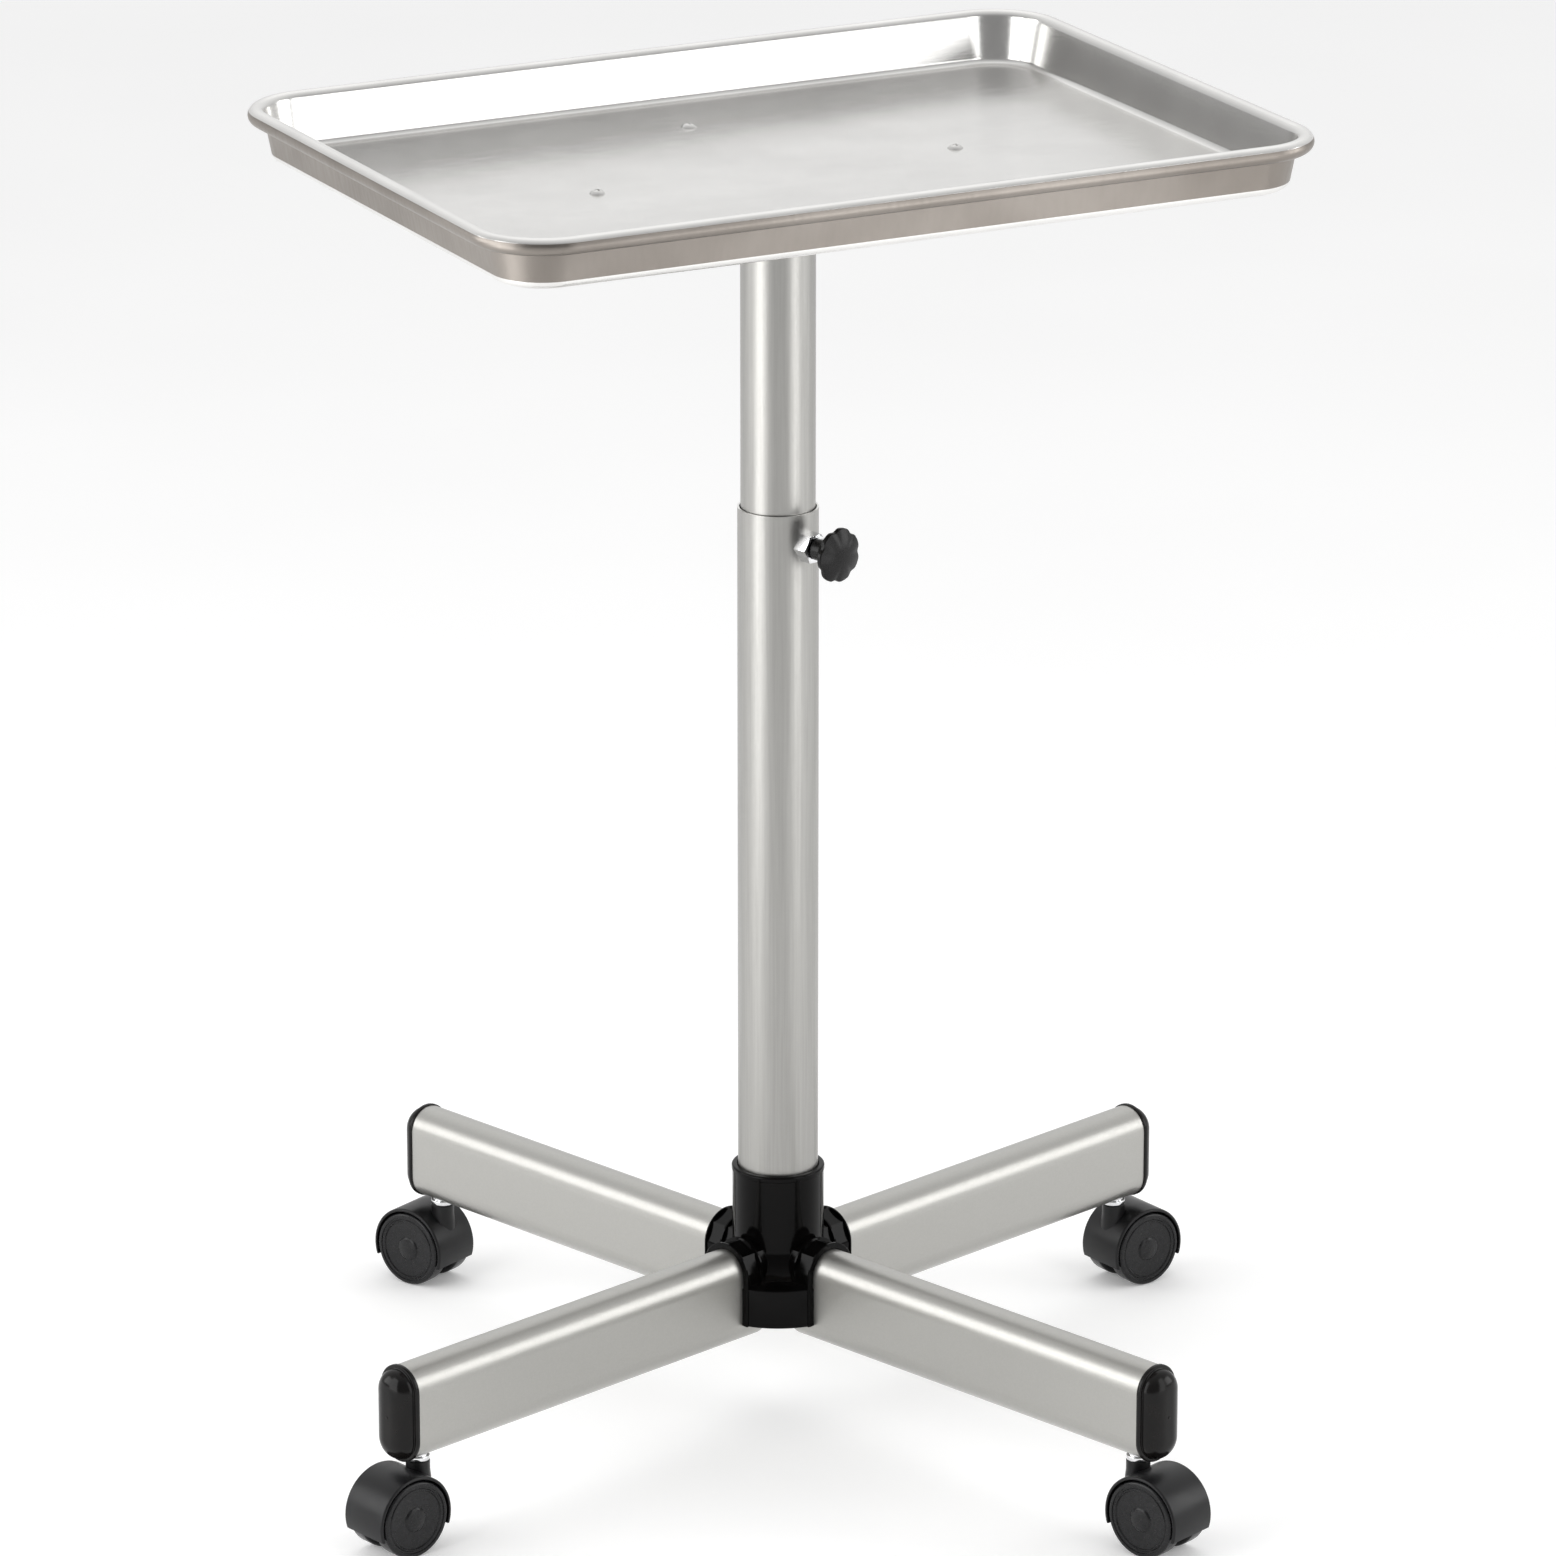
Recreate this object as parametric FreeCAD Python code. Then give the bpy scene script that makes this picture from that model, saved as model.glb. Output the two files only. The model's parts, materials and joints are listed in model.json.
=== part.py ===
"""Rolling tray cart: a drawn aluminium tray on a telescopic column and a four-leg caster base.

Millimetres. +Z is up, the origin is on the floor under the column, +X runs along the tray.
"""
import FreeCAD, Part
import math
import os

V = FreeCAD.Vector

# Tray, drawn from sheet, with its edge rolled outwards
tray_length = 457.0
tray_width = 330.0
tray_sheet = 1.0
rim_height = 690.0
tray_depth = 28.0
rim_corner_radius = 38.0
bead_diameter = 8.8
bead_open_angle = 50.0
wall_draft = 11.0
floor_bend_radius = 4.0

# Tray screws, on the two centre lines of the tray
tray_screw_reach = 100.0
tray_screw_shank = 4.0
tray_screw_head = 8.0
tray_screw_head_height = 2.2
tray_screw_crown = 4.6
tray_nut_flats = 7.0
tray_nut_thickness = 3.2
screw_play = 0.2
screw_tail = 1.2

# Spider and socket under the tray
spider_thickness = 3.0
spider_arm_width = 26.0
spider_corner = 7.0
spider_disc_diameter = 78.0
spider_arm_end = 14.0
spider_flange_height = 7.0
spider_flange_thickness = 2.0
socket_wall = 3.4
socket_height = 30.0

# Column: the outer tube stands in the hub, the inner tube slides in it
outer_tube_diameter = 41.3
outer_tube_wall = 1.0
outer_tube_top = 489.0
inner_tube_diameter = 38.1
inner_tube_wall = 1.5
inner_tube_bottom = 206.0
bush_flange = 6.0
bush_spigot_height = 24.0
running_play = 0.05
bush_play = 0.08
fixed_play = 0.1

# Clamp: a welded nut, a screw with a star knob, and a pad that presses the inner tube
clamp_drop = 17.0
clamp_screw_diameter = 8.0
clamp_nut_flats = 14.0
clamp_nut_thickness = 6.5
clamp_nut_saddle = 4.0
knob_gap = 0.6
knob_shank_diameter = 11.0
knob_shank_length = 7.0
knob_diameter = 28.0
knob_flare = 6.5
knob_rim = 3.0
knob_crown = 2.5
knob_crown_diameter = 14.0
knob_lobes = 7
knob_flute_radius = 5.0
knob_flute_depth = 1.2
screw_in_knob = 12.0
pad_thickness = 1.6
pad_diameter = 6.6
pad_hole_play = 0.7
moving_gap = 0.3

# Legs: flat oval tubes plugged into the hub
base_turn = -27.0
leg_width = 25.0
leg_height = 50.0
leg_wall = 1.5
leg_underside = 48.0
leg_inner_end = 21.8
leg_outer_end = 265.0

# Hub, one moulding with four sockets
hub_top = 136.0
collar_diameter = 48.0
collar_bottom = 98.0
skirt_diameter = 81.0
skirt_top = 80.0
skirt_bottom = 59.5
flare_fold_reach = 5.8
flare_fold_rise = 5.8
spigot_reach = 50.0
socket_rim_reach = 38.3
socket_shell = 3.2
socket_play = 0.1
hub_bottom = 54.0
hub_ledge = 6.0
core_wall = 2.8
core_top = 76.0
plug_height = 18.0
column_bolt_diameter = 8.0
column_bolt_flats = 13.0
column_bolt_head_height = 5.3
bolt_short = 2.0
bolt_flange_diameter = 20.0
bolt_flange_thickness = 1.6
bolt_recess_diameter = 23.0
bolt_recess_depth = 2.5

# End caps, with the seat of the caster stem
cap_rim = 2.6
cap_proud = 0.5
cap_face_inset = 1.2
cap_face_depth = 8.0
cap_face_slope = 5.0
cap_plug_length = 36.0

# Casters, hooded, with two wheels each
stem_setback = 10.0
stem_shank_diameter = 10.0
stem_shank_height = 36.0
stem_flange_diameter = 12.2
stem_flange_height = 2.6
pintle_diameter = 6.3
pintle_bottom = 24.0
neck_diameter = 12.3
neck_gap = 0.2
caster_trail = 13.0
wheel_diameter = 40.0
wheel_overall_width = 30.0
wheel_width = 10.0
wheel_bevel = 1.5
axle_diameter = 6.0
axle_bury = 7.0
hood_gap = 1.0
hood_shell = 1.6
hood_inset = 0.2
hood_skirt_height = 13.0
hood_web_gap = 0.6

# Azimuth of each leg from the base's own front, and the way its caster trails
LEGS = {
    "rear_right": (45.0, 37.0),
    "rear_left": (135.0, 143.0),
    "front_left": (225.0, 221.0),
    "front_right": (315.0, 319.0),
}

# Places that follow from the sizes above
tray_underside = rim_height - tray_depth
spider_underside = tray_underside - spider_thickness
outer_radius = outer_tube_diameter / 2
inner_radius = inner_tube_diameter / 2
outer_bore = outer_radius - outer_tube_wall
leg_top = leg_underside + leg_height
leg_centre = leg_underside + leg_height / 2
tube_foot = hub_bottom + hub_ledge
bolt_seat = hub_bottom + bolt_recess_depth
clamp_height = outer_tube_top - clamp_drop
clamp_azimuth = base_turn + LEGS["front_right"][0]
nut_end = outer_radius + clamp_nut_thickness
knob_start = nut_end + knob_gap
knob_face = knob_start + knob_shank_length + knob_flare + knob_rim + knob_crown
stem_reach = leg_outer_end - stem_setback
wheel_radius = wheel_diameter / 2
web_half = wheel_overall_width / 2 - wheel_width - hood_web_gap
neck_top = leg_underside - stem_flange_height - neck_gap


def cylinder(radius, low, high):
    """An upright cylinder about the column between two heights."""
    return Part.makeCylinder(radius, high - low, V(0, 0, low))


def ring(outer, inner, low, high):
    """An upright sleeve about the column."""
    return cylinder(outer, low, high).cut(cylinder(inner, low, high))


def rod(radius, start, end):
    """A cylinder along +X between two distances."""
    return Part.makeCylinder(radius, end - start, V(start, 0, 0), V(1, 0, 0))


def moved(shape, x=0.0, y=0.0, z=0.0, turn=0.0):
    """A copy turned about Z and then shifted."""
    copy = shape.copy()
    copy.rotate(V(0, 0, 0), V(0, 0, 1), turn)
    copy.translate(V(x, y, z))
    return copy


def hexagon(flats, low, high):
    """An upright hexagonal prism, two of its corners on the Y axis."""
    corner = flats / math.sqrt(3)
    points = [V(corner * math.sin(math.radians(60 * k)), corner * math.cos(math.radians(60 * k)), low)
              for k in range(7)]
    return Part.Face(Part.makePolygon(points)).extrude(V(0, 0, high - low))


def laid_along_x(shape):
    """Tips an upright shape so that its height runs out along +X."""
    copy = shape.copy()
    copy.rotate(V(0, 0, 0), V(0, 1, 0), 90)
    return copy


def revolved(points, axis=V(0, 0, 1)):
    """A full turn of a closed outline about an axis through the origin."""
    face = Part.Face(Part.makePolygon(points + [points[0]]))
    return face.revolve(V(0, 0, 0), axis, 360)


def flat_oval(width, height, start, end, centre):
    """A prism along +X whose section has straight sides and round top and bottom."""
    r = width / 2
    s = height / 2 - r
    edges = [
        Part.LineSegment(V(start, r, centre - s), V(start, r, centre + s)).toShape(),
        Part.Arc(V(start, r, centre + s), V(start, 0, centre + s + r), V(start, -r, centre + s)).toShape(),
        Part.LineSegment(V(start, -r, centre + s), V(start, -r, centre - s)).toShape(),
        Part.Arc(V(start, -r, centre - s), V(start, 0, centre - s - r), V(start, r, centre - s)).toShape(),
    ]
    return Part.Face(Part.Wire(edges)).extrude(V(end - start, 0, 0))


# Tray
corner_x = tray_length / 2 - rim_corner_radius
corner_y = tray_width / 2 - rim_corner_radius
bead_radius = bead_diameter / 2
slope = V(math.sin(math.radians(wall_draft)), 0, math.cos(math.radians(wall_draft)))
outward = V(slope.z, 0, -slope.x)
bead_centre = V(rim_corner_radius - bead_radius, 0, rim_height - bead_radius)
bend_outer = floor_bend_radius + tray_sheet


def bend_centre():
    """Centre of the bend between floor and wall, set so that the wall runs into the bead."""
    reach = floor_bend_radius + bead_radius
    z = tray_underside + bend_outer
    run = (bead_centre.z - z - reach * outward.z) / slope.z
    return V(bead_centre.x - reach * outward.x - run * slope.x, 0, z)


def arc_points(centre, radius, *angles):
    """Points of a round stretch seen along the edge; it is folded in flats, which keeps the mesh light."""
    return [centre + V(radius * math.cos(math.radians(a)), 0, radius * math.sin(math.radians(a))) for a in angles]


def tray_profile():
    """Section of the tray's side: bend, sloping wall and rolled edge."""
    bend = bend_centre()
    wall = 180 - wall_draft
    lip = -180 + bead_open_angle
    folds = (-90, -(90 + wall_draft) / 2, -wall_draft)
    points = arc_points(bend, bend_outer, *folds)
    points += arc_points(bead_centre, bead_radius - tray_sheet, wall, 90, 0, lip / 2, lip)
    points += arc_points(bead_centre, bead_radius, lip, lip * 2 / 3, lip / 3, 0, 45, 90, (90 + wall) / 2, wall)
    points += arc_points(bend, floor_bend_radius, *reversed(folds))
    return Part.Face(Part.makePolygon(points + [points[0]]))


def carried_round(profile):
    """Carries a section round the tray: four straight sides and four corners."""
    pieces = []
    for k in range(4):
        along_x = k % 2 == 1
        side = 2 * (corner_x if along_x else corner_y)
        turned = moved(profile, turn=90.0 * k)
        sx, sy = [(1, -1), (1, 1), (-1, 1), (-1, -1)][k]
        turned.translate(V(sx * corner_x, sy * corner_y, 0))
        direction = moved(Part.Vertex(0, 1, 0), turn=90.0 * k).Point
        pieces.append(turned.extrude(direction * side))
        corner = moved(profile, turn=90.0 * (k - 1))
        corner.translate(V(sx * corner_x, sy * corner_y, 0))
        pieces.append(corner.revolve(V(sx * corner_x, sy * corner_y, 0), V(0, 0, 1), 90))
    return pieces


def screw_places():
    """Centres of the four tray screws."""
    return [(tray_screw_reach * math.cos(math.radians(90 * k)), tray_screw_reach * math.sin(math.radians(90 * k)))
            for k in range(4)]


def tray():
    """Floor, walls and rolled edge in one drawn sheet."""
    r = bend_centre().x
    floor = Part.makeBox(2 * (corner_x + r), 2 * (corner_y + r), tray_sheet,
                         V(-corner_x - r, -corner_y - r, tray_underside))
    uprights = [e for e in floor.Edges if abs(e.Vertexes[0].Z - e.Vertexes[1].Z) > tray_sheet / 2]
    body = floor.makeFillet(r, uprights).multiFuse(carried_round(tray_profile()))
    for x, y in screw_places():
        hole = cylinder(tray_screw_shank / 2 + screw_play, tray_underside - 1, tray_underside + 2 * tray_sheet)
        body = body.cut(moved(hole, x, y))
    return body.removeSplitter()


# Fasteners of the tray
def tray_screw():
    """Low round-head screw through the floor into the nut of an arm."""
    floor_top = tray_underside + tray_sheet
    tail = spider_underside - tray_nut_thickness - screw_tail
    shank = cylinder(tray_screw_shank / 2, tail, floor_top)
    head = Part.makeCone(tray_screw_head / 2, tray_screw_crown / 2, tray_screw_head_height, V(0, 0, floor_top))
    return shank.fuse(head).removeSplitter()


def at_tray_screws(shape):
    """One copy of a fastener at each tray screw."""
    return Part.makeCompound([moved(shape, x, y) for x, y in screw_places()])


# Spider and socket
def spider_arm():
    """One arm along +X: corners cut off its end, a flange down each edge and the nut of its tray screw."""
    half = spider_arm_width / 2
    end = tray_screw_reach + spider_arm_end
    points = [V(0, -half, 0), V(end - spider_corner, -half, 0), V(end, spider_corner - half, 0),
              V(end, half - spider_corner, 0), V(end - spider_corner, half, 0), V(0, half, 0), V(0, -half, 0)]
    arm = moved(Part.Face(Part.makePolygon(points)).extrude(V(0, 0, spider_thickness)), z=spider_underside)
    start = spider_disc_diameter / 2 - spider_flange_thickness
    for y in (-half, half - spider_flange_thickness):
        arm = arm.fuse(Part.makeBox(end - spider_corner - start, spider_flange_thickness, spider_flange_height,
                                    V(start, y, spider_underside - spider_flange_height)))
    nut = hexagon(tray_nut_flats, spider_underside - tray_nut_thickness, spider_underside)
    hole = cylinder(tray_screw_shank / 2 + screw_play, 0, tray_underside + 1)
    return arm.fuse(moved(nut, tray_screw_reach)).cut(moved(hole, tray_screw_reach))


def tray_spider():
    """Pressed steel cross with weld nuts that carries the tray on four screws."""
    plate = cylinder(spider_disc_diameter / 2, spider_underside, tray_underside)
    return plate.multiFuse([moved(spider_arm(), turn=90.0 * k) for k in range(4)]).removeSplitter()


def mast_socket():
    """Sleeve welded under the spider that takes the inner tube."""
    bore = inner_radius + fixed_play
    return ring(bore + socket_wall, bore, spider_underside - socket_height, spider_underside)


# Column
def outer_tube():
    """Fixed tube with a plug welded in its foot and the hole of the clamp pad near its top."""
    tube = ring(outer_radius, outer_bore, tube_foot, outer_tube_top)
    tube = tube.fuse(ring(outer_bore, column_bolt_diameter / 2 + fixed_play, tube_foot, tube_foot + plug_height))
    drill = rod(pad_diameter / 2 + pad_hole_play, 0, outer_radius + 1)
    return tube.removeSplitter().cut(moved(drill, z=clamp_height, turn=clamp_azimuth))


def inner_tube():
    """Sliding tube, held in the socket at its top."""
    return ring(inner_radius, inner_radius - inner_tube_wall, inner_tube_bottom, spider_underside)


def glide_bush():
    """Nylon foot of the inner tube: it slides in the outer tube and the inner tube turns on it."""
    flange = cylinder(outer_bore - bush_play, inner_tube_bottom - bush_flange, inner_tube_bottom)
    spigot = cylinder(inner_radius - inner_tube_wall - running_play, inner_tube_bottom,
                      inner_tube_bottom + bush_spigot_height)
    return flange.fuse(spigot).removeSplitter()


def column_bolt():
    """Flanged hexagon bolt, sunk in the hub's underside, that pulls the column down into the hub."""
    under = bolt_seat - bolt_flange_thickness
    bolt = cylinder(column_bolt_diameter / 2, bolt_seat, tube_foot + plug_height - bolt_short)
    flange = cylinder(bolt_flange_diameter / 2, under, bolt_seat)
    head = hexagon(column_bolt_flats, under - column_bolt_head_height, under)
    return bolt.fuse(flange).fuse(head).removeSplitter()


# Clamp, built along +X and turned to its azimuth
def at_clamp(shape):
    """Puts a piece built along +X at the clamp's place on the column."""
    return moved(shape, z=clamp_height, turn=clamp_azimuth)


def clamp_nut():
    """Nut shaped to the tube and welded on it."""
    length = clamp_nut_thickness + clamp_nut_saddle
    nut = moved(laid_along_x(hexagon(clamp_nut_flats, 0, length)), x=nut_end - length)
    nut = nut.cut(rod(clamp_screw_diameter / 2, 0, 2 * nut_end))
    return at_clamp(nut.cut(cylinder(outer_radius, -nut_end, nut_end)))


def clamp_screw():
    """Threaded rod moulded into the knob."""
    tip = inner_radius + moving_gap + pad_thickness
    return at_clamp(rod(clamp_screw_diameter / 2 - running_play, tip, knob_start + screw_in_knob))


def clamp_pad():
    """Nylon pad on the screw's tip, hollowed to the inner tube."""
    tip = inner_radius + moving_gap + pad_thickness
    pad = rod(pad_diameter / 2, inner_radius - 1, tip)
    return at_clamp(pad.cut(cylinder(inner_radius + moving_gap, -pad_diameter, pad_diameter)))


def clamp_knob():
    """Star knob: a shank that flares into a thin lobed rim with a low crown."""
    r, s = knob_diameter / 2, knob_shank_diameter / 2
    head = knob_start + knob_shank_length
    crown = knob_face - knob_crown
    outline = [(knob_start, 0), (knob_start, s), (head, s), (head + knob_flare, r), (crown, r),
               (knob_face, knob_crown_diameter / 2), (knob_face, 0)]
    knob = revolved([V(x, y, 0) for x, y in outline], V(1, 0, 0))
    away = r + knob_flute_radius - knob_flute_depth
    for k in range(knob_lobes):
        angle = math.radians(360.0 * k / knob_lobes)
        flute = moved(rod(knob_flute_radius, head, knob_face + 1), 0, away * math.cos(angle), away * math.sin(angle))
        knob = knob.cut(flute)
    return at_clamp(knob.cut(rod(clamp_screw_diameter / 2, 0, knob_start + screw_in_knob + fixed_play)))


# Hub
def hub_skirt():
    """Collar, flare and skirt, turned about the column; the flare is concave in two slopes."""
    c, s = collar_diameter / 2, skirt_diameter / 2
    fold = V(c + flare_fold_reach, 0, skirt_top + flare_fold_rise)
    return revolved([V(0, 0, hub_bottom), V(c, 0, hub_bottom), V(c, 0, skirt_bottom), V(s, 0, skirt_bottom),
                     V(s, 0, skirt_top), fold, V(c, 0, collar_bottom), V(c, 0, hub_top), V(0, 0, hub_top)])


def hub_socket():
    """One socket along +X: an arch of flat facets over the leg."""
    half = leg_width / 2 + socket_shell
    centre = leg_top - leg_width / 2
    corner = half / math.cos(math.radians(22.5))
    points = [V(0, half, skirt_bottom)]
    for degrees in (22.5, 67.5, 112.5, 157.5):
        a = math.radians(degrees)
        points.append(V(0, corner * math.cos(a), centre + corner * math.sin(a)))
    points.append(V(0, -half, skirt_bottom))
    return Part.Face(Part.makePolygon(points + [points[0]])).extrude(V(socket_rim_reach, 0, 0))


def hub_spigot():
    """Square arm along +X that goes into the leg, between its flat sides."""
    width = leg_width - 2 * (leg_wall + socket_play)
    height = leg_height - leg_width
    start = outer_radius + fixed_play
    return Part.makeBox(spigot_reach - start, width, height, V(start, -width / 2, leg_centre - height / 2))


def hub_hollow():
    """Hollow in the underside between two sockets."""
    near = leg_width / 2 + core_wall
    outer = skirt_diameter / 2 - core_wall
    inner = collar_diameter / 2
    far_side = math.sqrt(outer ** 2 - near ** 2)
    near_side = math.sqrt(inner ** 2 - near ** 2)
    corner = outer / math.sqrt(2)
    points = [V(near_side, near, 0), V(far_side, near, 0), V(corner, corner, 0), V(near, far_side, 0),
              V(near, near_side, 0), V(near_side, near, 0)]
    return Part.Face(Part.makePolygon(points)).extrude(V(0, 0, core_top))


def hub():
    """Moulded hub, built with its sockets on the axes and turned to the legs."""
    body = hub_skirt().multiFuse([moved(hub_socket(), turn=90.0 * k) for k in range(4)])
    beyond = Part.makeBox(skirt_diameter, leg_width + 4 * socket_shell, hub_top,
                          V(socket_rim_reach, -leg_width / 2 - 2 * socket_shell, 0))
    pocket = flat_oval(leg_width + 2 * socket_play, leg_height + 2 * socket_play,
                       leg_inner_end - socket_play, skirt_diameter, leg_centre)
    for k in range(4):
        for tool in (beyond, pocket, hub_hollow()):
            body = body.cut(moved(tool, turn=90.0 * k))
        body = body.fuse(moved(hub_spigot(), turn=90.0 * k))
    body = body.cut(cylinder(outer_radius + fixed_play, tube_foot, hub_top + 1))
    body = body.cut(cylinder(column_bolt_diameter / 2 + fixed_play, 0, hub_top))
    body = body.cut(cylinder(bolt_recess_diameter / 2, 0, bolt_seat))
    return moved(body.removeSplitter(), turn=base_turn + LEGS["rear_right"][0])


# Legs and end caps, built along +X
def leg():
    """Flat oval tube with the hole of the caster stem."""
    tube = flat_oval(leg_width, leg_height, leg_inner_end, leg_outer_end, leg_centre)
    bore = flat_oval(leg_width - 2 * leg_wall, leg_height - 2 * leg_wall, 0, leg_outer_end + 1, leg_centre)
    stem_hole = moved(cylinder(stem_shank_diameter / 2 + screw_play, 0, leg_centre), stem_reach)
    return tube.cut(bore).cut(stem_hole)


def end_cap():
    """Plug with a rim, a face that slopes in all round, and the bore of the caster stem."""
    rim_end = leg_outer_end + cap_rim
    rim = flat_oval(leg_width + 2 * cap_proud, leg_height + 2 * cap_proud, leg_outer_end, rim_end, leg_centre)
    face_end = rim_end + cap_face_depth
    face = flat_oval(leg_width - 2 * cap_face_inset, leg_height - 2 * cap_face_inset, rim_end - cap_rim / 2,
                     face_end, leg_centre)
    front = [e for e in face.Edges if e.BoundBox.XMin > face_end - 0.1]
    face = face.makeChamfer(cap_face_slope, cap_face_depth, front)
    inner_end = leg_outer_end - cap_plug_length
    side = 2 * (leg_wall + fixed_play)
    plug = flat_oval(leg_width - side, leg_height - side, inner_end, rim_end - cap_rim / 2, leg_centre)
    bore = moved(cylinder(stem_shank_diameter / 2 + fixed_play, 0, leg_underside + stem_shank_height + 1), stem_reach)
    return rim.fuse(face).fuse(plug).cut(bore).removeSplitter()


# Casters, built about their stem and trailing along +X
def caster_stem():
    """Plated stem: shank in the end cap, flange under the leg, pintle in the hood."""
    shank = cylinder(stem_shank_diameter / 2, leg_underside, leg_underside + stem_shank_height)
    flange = cylinder(stem_flange_diameter / 2, leg_underside - stem_flange_height, leg_underside)
    pintle = cylinder(pintle_diameter / 2, pintle_bottom, leg_underside)
    return shank.fuse(flange).fuse(pintle).removeSplitter()


def wheel_profile(turned):
    """Half section of a wheel; the outline is closed on the axle's line."""
    outer = wheel_overall_width / 2
    inner = outer - wheel_width
    bury = inner + axle_bury
    bore = axle_diameter / 2 + running_play
    return [turned(x, r) for x, r in (
        (bury, 0), (bury, bore), (inner, bore), (inner, wheel_radius), (outer - wheel_bevel, wheel_radius),
        (outer, wheel_radius - wheel_bevel), (outer, 0))]


def wheel(side):
    """One wheel: tread, a bevel to its outer face, and a blind bore for the axle."""
    points = wheel_profile(lambda along, r: V(r, side * along, 0))
    return moved(revolved(points, V(0, 1, 0)), x=caster_trail, z=wheel_radius)


def caster_axle():
    """Steel pin through the hood's web into both wheels."""
    half = wheel_overall_width / 2 - wheel_width + axle_bury - fixed_play
    pin = Part.makeCylinder(axle_diameter / 2, 2 * half, V(caster_trail, -half, wheel_radius), V(0, 1, 0))
    return pin


def caster_hood():
    """Hood and centre web in one moulding, with the neck round the pintle."""
    half = wheel_overall_width / 2 - hood_inset
    outer = wheel_radius + hood_gap + hood_shell
    barrel = Part.makeCylinder(outer, 2 * half, V(caster_trail, -half, wheel_radius), V(0, 1, 0))
    body = barrel.fuse(cylinder(neck_diameter / 2, wheel_radius, neck_top))
    below = Part.makeBox(4 * outer, 4 * outer, outer + hood_skirt_height, V(-2 * outer, -2 * outer, -outer))
    body = body.cut(below)
    for side in (-1, 1):
        start = V(caster_trail, side * web_half, wheel_radius)
        room = Part.makeCylinder(wheel_radius + hood_gap, 2 * half, start, V(0, side, 0))
        body = body.cut(room)
    pin = Part.makeCylinder(axle_diameter / 2 + running_play, 4 * half, V(caster_trail, -2 * half, wheel_radius),
                            V(0, 1, 0))
    bore = cylinder(pintle_diameter / 2 + running_play, pintle_bottom - 1, neck_top + 1)
    return body.cut(pin).cut(bore).removeSplitter()


def turned_to_leg(shape, name):
    """Turns a piece built along +X to a leg."""
    return moved(shape, turn=base_turn + LEGS[name][0])


def set_under_leg(shape, name):
    """Turns a caster piece to its trail and sets it under a leg's end."""
    leg_turn, trail_turn = (math.radians(base_turn + a) for a in LEGS[name])
    return moved(shape, stem_reach * math.cos(leg_turn), stem_reach * math.sin(leg_turn),
                 turn=math.degrees(trail_turn))


def nodes():
    """Every piece by name, in assembly order."""
    pieces = {
        "hub": hub(),
        "outer_tube": outer_tube(),
        "column_bolt": column_bolt(),
        "clamp_nut": clamp_nut(),
        "clamp_pad": clamp_pad(),
        "clamp_screw": clamp_screw(),
        "clamp_knob": clamp_knob(),
        "glide_bush": glide_bush(),
        "inner_tube": inner_tube(),
        "mast_socket": mast_socket(),
        "tray_spider": tray_spider(),
        "tray": tray(),
        "tray_screws": at_tray_screws(tray_screw()),
    }
    for name in LEGS:
        pieces["leg_" + name] = turned_to_leg(leg(), name)
        pieces["end_cap_" + name] = turned_to_leg(end_cap(), name)
        pieces["caster_stem_" + name] = set_under_leg(caster_stem(), name)
        pieces["caster_hood_" + name] = set_under_leg(caster_hood(), name)
        pieces["caster_axle_" + name] = set_under_leg(caster_axle(), name)
        pieces["wheel_a_" + name] = set_under_leg(wheel(1), name)
        pieces["wheel_b_" + name] = set_under_leg(wheel(-1), name)
    return pieces


os.makedirs("parts", exist_ok=True)
for node, piece in nodes().items():
    piece.exportStep("parts/" + node + ".step")
    print(node, "solids", len(piece.Solids), "valid", piece.isValid(), "volume", round(piece.Volume, 1))
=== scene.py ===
"""Rolling tray cart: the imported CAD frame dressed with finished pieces, in the order it is put together."""
import bpy
import bmesh
import json
import math
from mathutils import Matrix, Vector


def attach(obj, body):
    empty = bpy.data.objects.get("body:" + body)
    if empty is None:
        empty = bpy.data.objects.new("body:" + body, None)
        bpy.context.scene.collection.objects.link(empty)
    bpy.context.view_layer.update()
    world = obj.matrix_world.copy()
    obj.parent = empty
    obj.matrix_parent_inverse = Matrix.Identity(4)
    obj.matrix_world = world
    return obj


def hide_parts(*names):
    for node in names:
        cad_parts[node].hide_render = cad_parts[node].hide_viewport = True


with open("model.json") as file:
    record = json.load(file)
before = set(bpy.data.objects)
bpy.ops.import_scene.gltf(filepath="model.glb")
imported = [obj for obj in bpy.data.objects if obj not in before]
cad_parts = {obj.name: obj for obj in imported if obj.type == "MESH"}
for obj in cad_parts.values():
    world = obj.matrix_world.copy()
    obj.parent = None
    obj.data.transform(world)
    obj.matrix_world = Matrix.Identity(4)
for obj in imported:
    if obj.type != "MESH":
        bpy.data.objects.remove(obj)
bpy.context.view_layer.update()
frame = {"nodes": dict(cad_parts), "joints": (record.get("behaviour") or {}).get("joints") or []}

# Hub: one glossy black moulding with a collar for the column and four arched sockets for the legs.
# Injection-moulded ABS: the collar flares into a round skirt, and each socket is an arch of flat facets
# with a thin raised edge round its mouth. The leg tubes are pressed over square spigots in the sockets.
mm = 0.001
joints = {j["name"]: j for j in frame["joints"]}
corners = [name.removeprefix("caster_swivel_") for name in joints if name.startswith("caster_swivel_")]
stem_places = {n: Vector(joints["caster_swivel_" + n]["pos_m"]) for n in corners}
leg_turns = {n: math.atan2(p.y, p.x) for n, p in stem_places.items()}


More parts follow.
